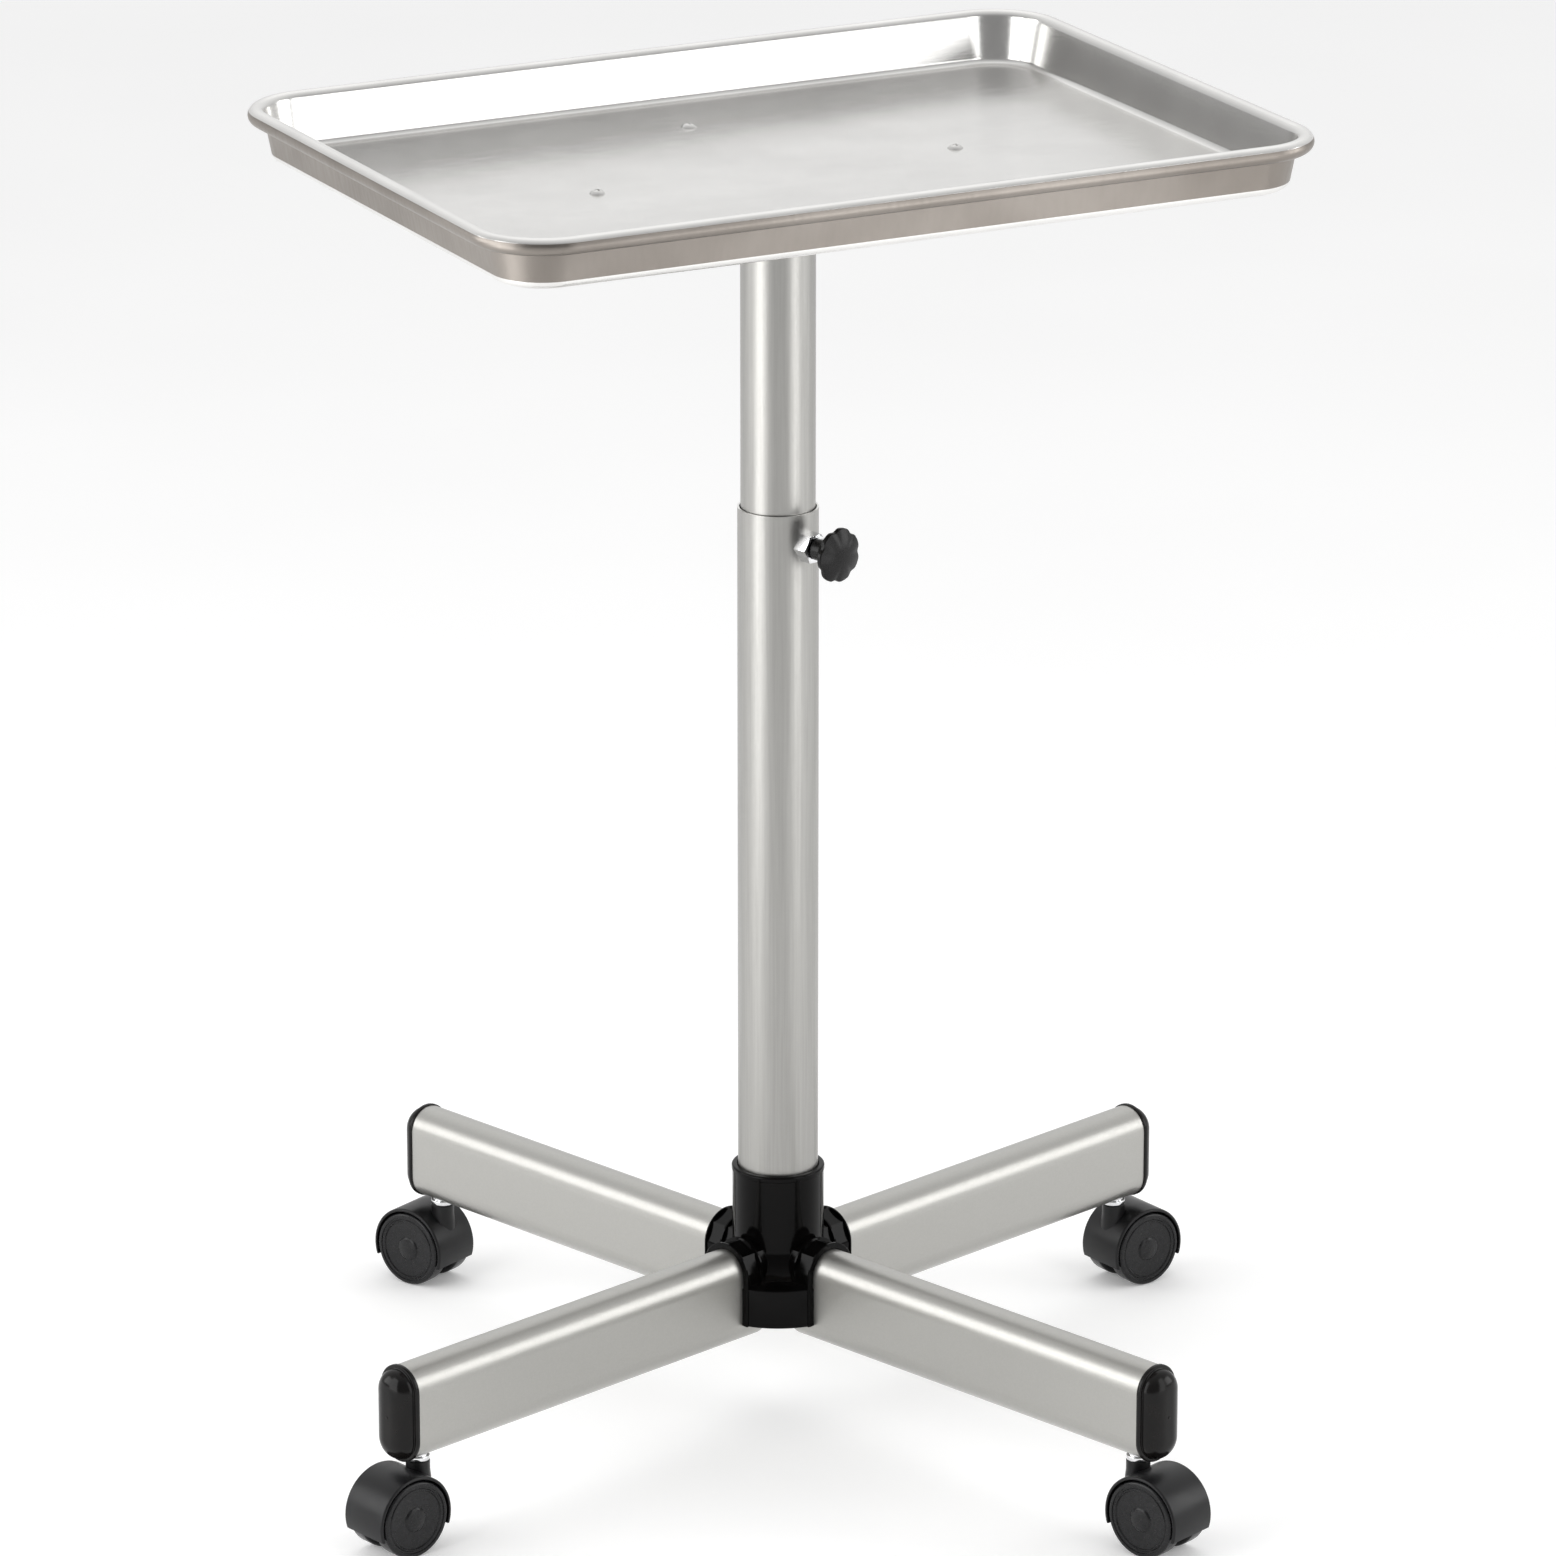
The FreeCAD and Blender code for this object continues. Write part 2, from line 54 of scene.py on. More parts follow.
def linear(hex_colour):
    """Linear RGBA of an sRGB hex colour."""
    parts = [int(hex_colour[k:k + 2], 16) / 255 for k in (1, 3, 5)]
    return [c / 12.92 if c <= 0.04045 else ((c + 0.055) / 1.055) ** 2.4 for c in parts] + [1.0]


def fill(tree, node, inputs):
    """Sets a node's inputs; an input is a value, a node whose first output is linked, or an output."""
    for key, value in inputs.items():
        if isinstance(value, bpy.types.Node):
            value = value.outputs[0]
        if isinstance(value, bpy.types.NodeSocket):
            tree.links.new(value, node.inputs[key])
        else:
            node.inputs[key].default_value = value


def add(tree, kind, inputs=None, stops=(), **settings):
    """Adds a node with its settings, its inputs and, on a colour ramp, its stops of position and colour."""
    node = tree.nodes.new(kind)
    for key, value in settings.items():
        setattr(node, key, value)
    for k, (position, colour) in enumerate(stops):
        element = node.color_ramp.elements[k] if k < 2 else node.color_ramp.elements.new(position)
        element.position = position
        element.color = colour if isinstance(colour, list) else [colour] * 3 + [1.0]
    fill(tree, node, inputs or {})
    return node


def finish(name):
    """A new material, its node tree, its shader and the object coordinates of its surface."""
    material = bpy.data.materials.new(name)
    material.use_nodes = True
    tree = material.node_tree
    shader = tree.nodes["Principled BSDF"]
    place = add(tree, "ShaderNodeTexCoord").outputs["Object"]
    return material, tree, shader, place


def bridged(rings, ends=(True, True)):
    """Points and faces that join closed rings of equal count, with or without end faces."""
    count = len(rings[0])
    points = [p for one in rings for p in one]
    last = len(points) - count
    faces = []
    for low in range(0, last, count):
        high = low + count
        for k in range(count):
            after = (k + 1) % count
            faces.append((low + k, low + after, high + after, high + k))
    if ends[0]:
        faces.append(tuple(range(count)))
    if ends[1]:
        faces.append(tuple(range(last, last + count)))
    return points, faces


def turned(outline, steps=96):
    """Rings of an outline of (radius, height) turned about Z."""
    return [[Vector((r * math.cos(math.tau * k / steps), r * math.sin(math.tau * k / steps), z))
             for k in range(steps)] for r, z in outline]


def arc(centre, radius, start, end, steps):
    """Points of an arc in a section plane, from one angle in degrees to another."""
    return [(centre[0] + radius * math.cos(math.radians(start + (end - start) * k / steps)),
             centre[1] + radius * math.sin(math.radians(start + (end - start) * k / steps)))
            for k in range(steps + 1)]


def piece(name, parts, material, body, replaces=(), place=None, sharp=32.0):
    """Makes one object of several bridged parts, smooth up to an angle, and fixes it to its body."""
    mesh = bpy.data.meshes.new(name)
    build = bmesh.new()
    for points, faces in parts:
        made = [build.verts.new(p) for p in points]
        for face in faces:
            build.faces.new([made[k] for k in face])
    bmesh.ops.remove_doubles(build, verts=build.verts, dist=1e-7)
    bmesh.ops.recalc_face_normals(build, faces=build.faces)
    if place:
        build.transform(place)
    build.to_mesh(mesh)
    build.free()
    mesh.shade_smooth()
    mesh.set_sharp_from_angle(angle=math.radians(sharp))
    mesh.materials.append(material)
    made_object = bpy.data.objects.new(name, mesh)
    bpy.context.collection.objects.link(made_object)
    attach(made_object, body)
    if replaces:
        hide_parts(*replaces)
    return made_object


# Glossy black ABS, moulded: near-black with a mirror-like skin and the faint waves that moulding leaves.
gloss_abs, tree, shader, place = finish("black_abs_gloss")
sink = 14 * mm
waves = add(tree, "ShaderNodeTexNoise", {"Vector": place, "Scale": 1 / sink, "Detail": 2.0})
scuffs = add(tree, "ShaderNodeTexNoise", {"Vector": place, "Scale": 1 / (2.5 * mm), "Detail": 5.0})
shade = add(tree, "ShaderNodeValToRGB", {"Fac": waves}, [(0.3, linear("#040404")), (0.7, linear("#080707"))])
rough = add(tree, "ShaderNodeValToRGB", {"Fac": scuffs}, [(0.35, 0.10), (0.75, 0.17)])
bump = add(tree, "ShaderNodeBump", {"Height": waves, "Strength": 0.2, "Distance": 0.12 * mm})
fill(tree, shader, {"Base Color": shade, "Roughness": rough, "Normal": bump, "IOR": 1.5,
                    "Specular IOR Level": 0.1})

hub_bottom, hub_top = 54 * mm, 136 * mm
collar_radius, collar_bottom = 24 * mm, 97 * mm
skirt_radius, skirt_top, skirt_bottom, skirt_wall = 40.5 * mm, 80 * mm, 59.5 * mm, 2.8 * mm
core_top = 76 * mm
collar_bore, bolt_hole, bolt_recess, bolt_seat = 20.75 * mm, 4.1 * mm, 11.5 * mm, 56.5 * mm
edge, small_edge = 1.0 * mm, 0.5 * mm
lip_height, groove = 2.6 * mm, 0.4 * mm
flare, bore_depth = 17 * mm, 10 * mm

column_outline = [(collar_bore, hub_top - bore_depth), (collar_bore, hub_top - edge)]
column_outline += arc((collar_bore + edge, hub_top - edge), edge, 180, 90, 6)
column_outline += arc((collar_radius - edge, hub_top - edge), edge, 90, 0, 6)
column_outline += [(collar_radius, hub_top - lip_height),
                   (collar_radius - groove, hub_top - lip_height - groove)]
column_outline += [(collar_radius - groove, collar_bottom)]
column_outline += arc((skirt_radius, skirt_top + flare), flare, 180, 262, 20)[1:]
column_outline += arc((skirt_radius - small_edge, skirt_top - small_edge), small_edge, 90, 0, 3)
column_outline += arc((skirt_radius - small_edge, skirt_bottom + small_edge), small_edge, 0, -90, 3)
column_outline += [(skirt_radius - skirt_wall, skirt_bottom), (skirt_radius - skirt_wall, core_top)]
column_outline += [(collar_radius, core_top), (collar_radius, hub_bottom + small_edge)]
column_outline += [(collar_radius - small_edge, hub_bottom), (bolt_recess, hub_bottom)]
column_outline += [(bolt_recess, bolt_seat), (bolt_hole, bolt_seat)]
hub_parts = [bridged(turned(column_outline, 128), (False, False))]

leg_width, leg_height, leg_underside = 25 * mm, 50 * mm, 48 * mm
leg_centre = leg_underside + leg_height / 2
arch_centre = leg_underside + leg_height - leg_width / 2
fit, leg_wall = 0.1 * mm, 1.5 * mm


def oval(x, grow, steps=28):
    """Ring of the flat oval leg section at a distance along the leg, grown or shrunk by an offset."""
    r = leg_width / 2 + grow
    straight = (leg_height - leg_width) / 2
    ring = []
    for side in (1, -1):
        for k in range(steps + 1):
            a = math.pi * k / steps
            ring.append(Vector((x, side * r * math.cos(a), leg_centre + side * (straight + r * math.sin(a)))))
    return ring


# The wall has its root in the collar. Each of the arch's four flats spans an eighth of a turn, and they are
# sunk a little, so that their corners stay under the lips.
root, facet, sunk = 22 * mm, math.pi / 4, 0.96


def arch_point(x, half, station, steps, faceted):
    """Point of a socket's wall: station 0 and the last are its feet, those between go over the arch.

    A point with no distance along the leg goes to the root."""
    a = math.pi * (station - 1) / steps
    if station in (0, steps + 2):
        y, z = (half if station == 0 else -half), skirt_bottom
    else:
        if faceted:
            half *= sunk / math.cos(a % facet - facet / 2)
        y, z = half * math.cos(a), arch_centre + half * math.sin(a)
    return Vector((x or math.sqrt(root ** 2 - y ** 2), y, z))


# The wall is worked round its thickness: the band of flats between two thin round lips, then the bore.
socket_end, band = 38.3 * mm, 12 * mm
band_start = socket_end - band
flats, lip, lip_width = 14.6 * mm, 15.9 * mm, 0.9 * mm
slope, lip_round, mouth_bevel = 0.5 * mm, 0.3 * mm, 0.4 * mm
bore = leg_width / 2 + fit
wall_loop = [(None, flats, True), (band_start - slope, flats, True)]
wall_loop += [(band_start, lip, False), (band_start + lip_width, lip, False)]
wall_loop += [(band_start + lip_width + mouth_bevel, flats, True)]
wall_loop += [(socket_end - lip_width - slope, flats, True), (socket_end - lip_width - 0.1 * mm, lip, False)]
wall_loop += [(socket_end - lip_round, lip, False), (socket_end, lip - lip_round, False)]
wall_loop += [(socket_end, bore + mouth_bevel, False), (socket_end - mouth_bevel, bore, False)]
wall_loop += [(None, bore, False)]
arch_steps = 24
loops = [[arch_point(x, half, station, arch_steps, faceted) for x, half, faceted in wall_loop]
         for station in range(arch_steps + 3)]
spigot_half, spigot_rise = leg_width / 2 - leg_wall - fit, 12.5 * mm
spigot_start, spigot_end, tip_taper = 20.75 * mm, 50 * mm, 0.92
spigot_corners = [(spigot_half, spigot_rise), (-spigot_half, spigot_rise),
                  (-spigot_half, -spigot_rise), (spigot_half, -spigot_rise)]
spigot_rings = [[Vector((x, y * less, leg_centre + z * less)) for y, z in spigot_corners]
                for x, less in ((spigot_start, 1.0), (spigot_end - edge, 1.0), (spigot_end, tip_taper))]
for turn in leg_turns.values():
    for points, faces in (bridged(loops), bridged(spigot_rings)):
        hub_parts.append(([Matrix.Rotation(turn, 3, "Z") @ p for p in points], faces))
piece("hub_moulding", hub_parts, gloss_abs, "base", ["hub"], sharp=28.0)


# Column: a fixed outer tube that stands in the hub and is bolted from below.
# Its bolt has a flanged head, sunk in the hub's underside.
def put_on(name, material):
    """Gives a CAD node a finished material."""
    mesh = frame["nodes"][name].data
    mesh.materials.clear()
    mesh.materials.append(material)


# Satin anodised aluminium: pale and slightly warm, with faint lines along the draw and soft upright bands.
# The sawn end is bare metal; the paler tint goes only on faces that look up, a painted highlight, so the top
# of the outer tube shows as a thin bright line.
satin_tube, tree, shader, place = finish("satin_anodised_aluminium")
drawn = add(tree, "ShaderNodeMapping", {"Vector": place, "Scale": (1.0, 1.0, 0.02)})
streaks = add(tree, "ShaderNodeTexNoise", {"Vector": drawn, "Scale": 1 / (1.3 * mm), "Detail": 4.0})
speckle = add(tree, "ShaderNodeTexNoise", {"Vector": place, "Scale": 1 / (1.1 * mm), "Detail": 3.0})
mixed = add(tree, "ShaderNodeMath", {0: streaks, 1: speckle}, operation="ADD")
tint = add(tree, "ShaderNodeValToRGB", {"Fac": streaks}, [(0.3, linear("#9e9d9a")), (0.7, linear("#a7a6a3"))])
rough = add(tree, "ShaderNodeValToRGB", {"Fac": speckle}, [(0.3, 0.31), (0.7, 0.39)])
bump = add(tree, "ShaderNodeBump", {"Height": mixed, "Strength": 0.12, "Distance": 0.05 * mm})
normal = add(tree, "ShaderNodeNewGeometry").outputs["True Normal"]
upward = add(tree, "ShaderNodeSeparateXYZ", {"Vector": normal}).outputs["Z"]
# Painted highlight: only faces that look up get the pale tint, not sawn ends that face down.
top_painted_highlight = add(tree, "ShaderNodeMath", {0: upward, 1: 0.9}, operation="GREATER_THAN")
tint = add(tree, "ShaderNodeMixRGB", {"Fac": top_painted_highlight, "Color1": tint, "Color2": linear("#ececea")})
fill(tree, shader, {"Base Color": tint, "Roughness": rough, "Normal": bump, "Metallic": 1.0})
put_on("outer_tube", satin_tube)

# Zinc-plated steel, bright dipped: a bluish grey with pale yellow clouds and a soft shine.
zinc, tree, shader, place = finish("zinc_plated_steel")
clouds = add(tree, "ShaderNodeTexNoise", {"Vector": place, "Scale": 1 / (6 * mm), "Detail": 4.0})
rolled = add(tree, "ShaderNodeTexNoise", {"Vector": place, "Scale": 1 / (0.8 * mm), "Detail": 3.0})
tint = add(tree, "ShaderNodeValToRGB", {"Fac": clouds}, [(0.3, linear("#b4b8bd")), (0.8, linear("#c9c4b4")),
                                                          (0.55, linear("#c2c4c6"))])
rough = add(tree, "ShaderNodeValToRGB", {"Fac": rolled}, [(0.3, 0.28), (0.7, 0.42)])
bump = add(tree, "ShaderNodeBump", {"Height": rolled, "Strength": 0.15, "Distance": 0.05 * mm})
fill(tree, shader, {"Base Color": tint, "Roughness": rough, "Normal": bump, "Metallic": 1.0})
put_on("column_bolt", zinc)

# Legs: four lengths of flat oval steel tube, sawn square and pressed into the hub's sockets.
# Silver powder coat with fine aluminium flake: an even mid grey, soft shine, a little peel in the skin.
silver, tree, shader, place = finish("silver_powder_coat")
flakes = add(tree, "ShaderNodeTexVoronoi", {"Vector": place, "Scale": 1 / (0.7 * mm)})
level = add(tree, "ShaderNodeSeparateColor", {"Color": flakes.outputs["Color"]})
peel = add(tree, "ShaderNodeTexNoise", {"Vector": place, "Scale": 1 / (2.2 * mm), "Detail": 2.0})
tint = add(tree, "ShaderNodeValToRGB", {"Fac": level}, [(0.0, linear("#acaba7")), (1.0, linear("#afaeaa"))])
rough = add(tree, "ShaderNodeValToRGB", {"Fac": peel}, [(0.3, 0.34), (0.7, 0.40)])
bump = add(tree, "ShaderNodeBump", {"Height": peel, "Strength": 0.04, "Distance": 0.03 * mm})
fill(tree, shader, {"Base Color": tint, "Roughness": rough, "Normal": bump, "Metallic": 0.85,
                    "Coat Weight": 0.3, "Coat Roughness": 0.2})
for name in corners:
    put_on("leg_" + name, silver)

# End caps: black ABS plugs with a thin rim over the sawn tube end and a softly domed face.
# They are pushed into the legs, and each carries the bore of a caster stem.
# The same ABS off a blasted tool: a shade greyer than the hub, its reflections softened to a sheen.
sheen_abs, tree, shader, place = finish("black_abs_sheen")
skin = add(tree, "ShaderNodeTexNoise", {"Vector": place, "Scale": 1 / (8 * mm), "Detail": 3.0})
tint = add(tree, "ShaderNodeValToRGB", {"Fac": skin}, [(0.3, linear("#0d0c0c")), (0.7, linear("#141211"))])
rough = add(tree, "ShaderNodeValToRGB", {"Fac": skin}, [(0.3, 0.16), (0.7, 0.24)])
fill(tree, shader, {"Base Color": tint, "Roughness": rough, "IOR": 1.5, "Specular IOR Level": 0.2})
leg_end = 265 * mm
# The rim in mm: how far past the leg's end, and how far outside the leg's own outline.
rim = [(0.0, 0.0), (0.1, 0.45), (0.5, 0.7), (2.0, 0.7), (2.5, 0.45), (2.6, 0.1), (2.6, -0.9), (2.8, -1.2)]
cap_outline = [(leg_end + past * mm, outside * mm) for past, outside in rim]
dome_base, dome_edge = leg_end + 2.8 * mm, -1.2 * mm
dome_depth, dome_inset = 7.8 * mm, 9.5 * mm
cap_outline += [(dome_base + dome_depth * math.sin(a), dome_edge - dome_inset * (1 - math.cos(a)))
                for a in (math.radians(6 * k) for k in range(1, 15))]
cap_outline += [(dome_base + dome_depth, dome_edge - dome_inset)]
pip_outline = [(0.75 * mm, -0.3 * mm), (0.7 * mm, 0.15 * mm), (0.3 * mm, 0.25 * mm)]
pip_place = Matrix.Translation((dome_base + dome_depth, 0, leg_centre))
pip_place = pip_place @ Matrix.Rotation(math.pi / 2, 4, "Y")
pip_points, pip_faces = bridged(turned(pip_outline, 20))
pip_points = [pip_place @ p for p in pip_points]
for name in corners:
    rings = [oval(x, grow) for x, grow in cap_outline]
    piece("cap_face_" + name, [bridged(rings), (pip_points, pip_faces)], sheen_abs, "base",
          ["end_cap_" + name], Matrix.Rotation(leg_turns[name], 4, "Z"))

# Caster stems: turned steel pins with a flange that bears on the leg's underside.
# Bright nickel-chrome plating: a near mirror, slightly blurred by the turning marks.
chrome, tree, shader, place = finish("chrome_plated_steel")
haze = add(tree, "ShaderNodeTexNoise", {"Vector": place, "Scale": 1 / (1.2 * mm), "Detail": 4.0})
tint = add(tree, "ShaderNodeValToRGB", {"Fac": haze}, [(0.3, linear("#d6d7d9")), (0.7, linear("#e8e8e9"))])
rough = add(tree, "ShaderNodeValToRGB", {"Fac": haze}, [(0.35, 0.06), (0.7, 0.14)])
fill(tree, shader, {"Base Color": tint, "Roughness": rough, "Metallic": 1.0})
stem_foot, flange_low, flange_high, stem_top = 24 * mm, 45.4 * mm, 47.9 * mm, 84 * mm
pintle_radius, stem_radius, flange_round, centre = 3.15 * mm, 5.0 * mm, 0.5 * mm, 0.1 * mm
stem_outline = [(centre, stem_foot), (pintle_radius, stem_foot), (pintle_radius, flange_low)]
stem_outline += arc((5.6 * mm, flange_low + flange_round), flange_round, 270, 360, 4)
stem_outline += arc((5.6 * mm, flange_high - flange_round), flange_round, 0, 90, 4)
stem_outline += [(stem_radius, flange_high), (stem_radius, 82.5 * mm)]
stem_outline += [(3.5 * mm, stem_top), (centre, stem_top)]
for name in corners:
    spot = Matrix.Translation((stem_places[name].x, stem_places[name].y, 0))
    piece("stem_" + name, [bridged(turned(stem_outline, 48))], chrome, "base",
          ["caster_stem_" + name], spot)

# Caster hoods: black nylon mouldings, a half barrel over both wheels with a web between them.
# The neck rises out of the shoulder round the stem's pintle. Glass-filled nylon, satin with a fine grain.
satin_nylon, tree, shader, place = finish("black_nylon_satin")
texture = add(tree, "ShaderNodeTexNoise", {"Vector": place, "Scale": 1 / (0.5 * mm), "Detail": 3.0})
flow = add(tree, "ShaderNodeTexNoise", {"Vector": place, "Scale": 1 / (12 * mm), "Detail": 3.0})
tint = add(tree, "ShaderNodeValToRGB", {"Fac": flow}, [(0.3, linear("#0d0d0e")), (0.7, linear("#141416"))])
rough = add(tree, "ShaderNodeValToRGB", {"Fac": flow}, [(0.3, 0.32), (0.7, 0.42)])
bump = add(tree, "ShaderNodeBump", {"Height": texture, "Strength": 0.15, "Distance": 0.05 * mm})
fill(tree, shader, {"Base Color": tint, "Roughness": rough, "Normal": bump, "IOR": 1.5,
                    "Specular IOR Level": 0.3})

trail, wheel_radius = 13 * mm, 20 * mm
barrel_radius, barrel_half, room_radius = 22.6 * mm, 14.8 * mm, 21 * mm
web_half, skirt_height = 4.4 * mm, 13 * mm
round_edge = 1.1 * mm
hood_outline = [(centre, -web_half), (room_radius, -web_half), (room_radius, -barrel_half + 0.2 * mm)]
hood_outline += [(room_radius + 0.2 * mm, -barrel_half)]
hood_outline += arc((barrel_radius - round_edge, -barrel_half + round_edge), round_edge, 270, 360, 6)
hood_outline += arc((barrel_radius - round_edge, barrel_half - round_edge), round_edge, 0, 90, 6)
hood_outline += [(room_radius + 0.2 * mm, barrel_half), (room_radius, barrel_half - 0.2 * mm)]
hood_outline += [(room_radius, web_half), (centre, web_half)]
neck_bore, neck_radius, neck_top = 3.3 * mm, 6.15 * mm, 45.2 * mm
neck_outline = [(neck_bore, stem_foot), (6.9 * mm, stem_foot), (6.6 * mm, 36 * mm), (neck_radius, 40 * mm)]
neck_outline += [(neck_radius, neck_top - 0.4 * mm), (5.8 * mm, neck_top), (neck_bore, neck_top)]
on_axle = Matrix.Translation((trail, 0, wheel_radius)) @ Matrix.Rotation(math.radians(-90), 4, "X")


def caster_place(name):
    """Stands a caster piece built about its stem under its leg, turned to the way it trails."""
    stem = stem_places[name]
    axle = Vector(joints["wheel_a_spin_" + name]["pos_m"])
    turn = math.atan2(axle.y - stem.y, axle.x - stem.x)
    return Matrix.Translation((stem.x, stem.y, 0)) @ Matrix.Rotation(turn, 4, "Z")


def cut_below(points, faces, height):
    """Cuts a closed part with a level plane, drops what is under it and closes the cut."""
    build = bmesh.new()
    made = [build.verts.new(p) for p in points]
    for face in faces:
        build.faces.new([made[k] for k in face])
    bmesh.ops.remove_doubles(build, verts=build.verts, dist=1e-7)
    whole = build.verts[:] + build.edges[:] + build.faces[:]
    cut = bmesh.ops.bisect_plane(build, geom=whole, clear_inner=True,
                                 plane_co=(0, 0, height), plane_no=(0, 0, 1))
    rim = [e for e in cut["geom_cut"] if isinstance(e, bmesh.types.BMEdge)]
    bmesh.ops.triangle_fill(build, use_beauty=True, edges=rim)
    build.verts.index_update()
    result = [v.co.copy() for v in build.verts], [tuple(v.index for v in f.verts) for f in build.faces]
    build.free()
    return result


barrel_points, barrel_faces = bridged(turned(hood_outline, 120))
barrel_points = [on_axle @ p for p in barrel_points]
hood_parts = [cut_below(barrel_points, barrel_faces, skirt_height),
              bridged(turned(neck_outline, 64), (False, False))]
for name in corners:
    piece("hood_" + name, hood_parts, satin_nylon, "caster_" + name,
          ["caster_hood_" + name], caster_place(name))
    put_on("caster_axle_" + name, zinc)

# Caster wheels: black nylon discs, two to a caster, with a rounded tread and a dished outer face.
# A raised ring runs round the face just inside the tread, and a small boss marks the axle.
wheel_nylon, tree, shader, place = finish("black_nylon_wheel")
wear = add(tree, "ShaderNodeTexNoise", {"Vector": place, "Scale": 1 / (3 * mm), "Detail": 4.0})
tint = add(tree, "ShaderNodeValToRGB", {"Fac": wear}, [(0.3, linear("#121213")), (0.75, linear("#1b1b1d"))])
rough = add(tree, "ShaderNodeValToRGB", {"Fac": wear}, [(0.3, 0.22), (0.7, 0.32)])
bump = add(tree, "ShaderNodeBump", {"Height": wear, "Strength": 0.04, "Distance": 0.05 * mm})
fill(tree, shader, {"Base Color": tint, "Roughness": rough, "Normal": bump, "IOR": 1.5,
                    "Specular IOR Level": 0.3})
wheel_inner, wheel_outer, tread_round = 5 * mm, 15 * mm, 1.5 * mm
axle_bore, axle_depth, disc = 3.05 * mm, 7 * mm, 3.4 * mm
wheel_outline = [(axle_bore, wheel_inner + axle_depth), (axle_bore, wheel_inner), (6 * mm, wheel_inner)]
wheel_outline += [(6.4 * mm, wheel_outer - disc), (15.6 * mm, wheel_outer - disc), (16.4 * mm, wheel_inner)]
wheel_outline += arc((wheel_radius - tread_round, wheel_inner + tread_round), tread_round, 270, 360, 6)
wheel_outline += arc((wheel_radius - tread_round, wheel_outer - tread_round), tread_round, 0, 90, 6)
# The outer face in mm, from the tread in to the boss: radius, and depth below the tread's side.
face = [(17.6, 0.0), (17.4, 0.5), (16.6, 0.6), (16.2, 0.2), (15.6, 0.2), (15.2, 0.9), (6.5, 1.3), (5.8, 0.6),
        (5.4, 0.4), (0.1, 0.3)]
wheel_outline += [(radius * mm, wheel_outer - depth * mm) for radius, depth in face]
for name in corners:
    for side, turn in (("a", -90), ("b", 90)):
        axle = Matrix.Translation((trail, 0, wheel_radius)) @ Matrix.Rotation(math.radians(turn), 4, "X")
        piece(f"wheel_{side}_{name}_disc", [bridged(turned(wheel_outline, 96), (False, True))], wheel_nylon,
              f"wheel_{side}_{name}", [f"wheel_{side}_{name}"], caster_place(name) @ axle)

# Clamp: a hexagon nut welded on the column, and a screw with a nylon pad that presses the inner tube.
# The nut is chrome plated, its corners turned off on the outer face.
clamp_axis = Vector(joints["knob_turn"]["axis"])
clamp_height = 472 * mm
clamp_turn = clamp_axis.to_track_quat("X", "Z").to_matrix().to_4x4()
at_clamp = Matrix.Translation((0, 0, clamp_height)) @ clamp_turn
tube_radius, nut_end, nut_flats = 20.65 * mm, 27.15 * mm, 14 * mm


def hexagon(x, limit, fall=0.0, steps=96):
    """Ring of a hexagon about X with its corners cut to a radius and let back along X beyond the flats."""
    ring = []
    for k in range(steps):
        a = math.tau * k / steps
        r = min(nut_flats / 2 / math.cos((a + math.pi / 6) % (math.pi / 3) - math.pi / 6), limit)
        ring.append(Vector((x - fall * (r - nut_flats / 2), r * math.sin(a), r * math.cos(a))))
    return ring


bevel, past_corners, thread = math.tan(math.radians(30)), 9 * mm, 4.0 * mm
nut_rings = [hexagon(tube_radius - 3 * mm, past_corners), hexagon(nut_end, past_corners, bevel)]
nut_rings += [hexagon(nut_end, nut_flats / 2 - 0.1 * mm), hexagon(nut_end, 4.6 * mm)]
nut_rings += [hexagon(nut_end - 0.5 * mm, thread), hexagon(tube_radius - 1 * mm, thread)]
piece("nut_welded", [bridged(nut_rings, (False, False))], chrome, "base", ["clamp_nut"],
      at_clamp, 25.0)

# Natural nylon, for the pad and the glide bush: ivory, waxy and slightly see-through.
nylon, tree, shader, place = finish("natural_nylon")
wax = add(tree, "ShaderNodeTexNoise", {"Vector": place, "Scale": 1 / (4 * mm), "Detail": 3.0})
tint = add(tree, "ShaderNodeValToRGB", {"Fac": wax}, [(0.3, linear("#dcd8c9")), (0.7, linear("#e6e3d8"))])
rough = add(tree, "ShaderNodeValToRGB", {"Fac": wax}, [(0.3, 0.38), (0.7, 0.5)])
fill(tree, shader, {"Base Color": tint, "Roughness": rough, "Subsurface Weight": 0.15,
                    "Subsurface Radius": (0.002, 0.0018, 0.0015)})
put_on("clamp_pad", nylon)
put_on("clamp_screw", zinc)
put_on("glide_bush", nylon)

# Clamp knob: a seven-lobed star of black phenolic moulded on the screw's head.
# A short shank flares like a trumpet into a thin rim with shallow hollows, closed by a low crown.
phenolic, tree, shader, place = finish("black_phenolic_moulded")
stipple = add(tree, "ShaderNodeTexNoise", {"Vector": place, "Scale": 1 / (0.7 * mm), "Detail": 2.0})
tint = add(tree, "ShaderNodeValToRGB", {"Fac": stipple}, [(0.3, linear("#0a0a0a")), (0.7, linear("#121111"))])
rough = add(tree, "ShaderNodeValToRGB", {"Fac": stipple}, [(0.3, 0.24), (0.7, 0.34)])
bump = add(tree, "ShaderNodeBump", {"Height": stipple, "Strength": 0.2, "Distance": 0.06 * mm})
fill(tree, shader, {"Base Color": tint, "Roughness": rough, "Normal": bump, "IOR": 1.5,
                    "Specular IOR Level": 0.22})
knob_start, head, rim_back, crown, knob_face = 27.75 * mm, 34.75 * mm, 41.25 * mm, 44.25 * mm, 46.75 * mm
knob_radius, lobes, flute_depth, shank_radius = 14 * mm, 7, 1.2 * mm, 5.5 * mm


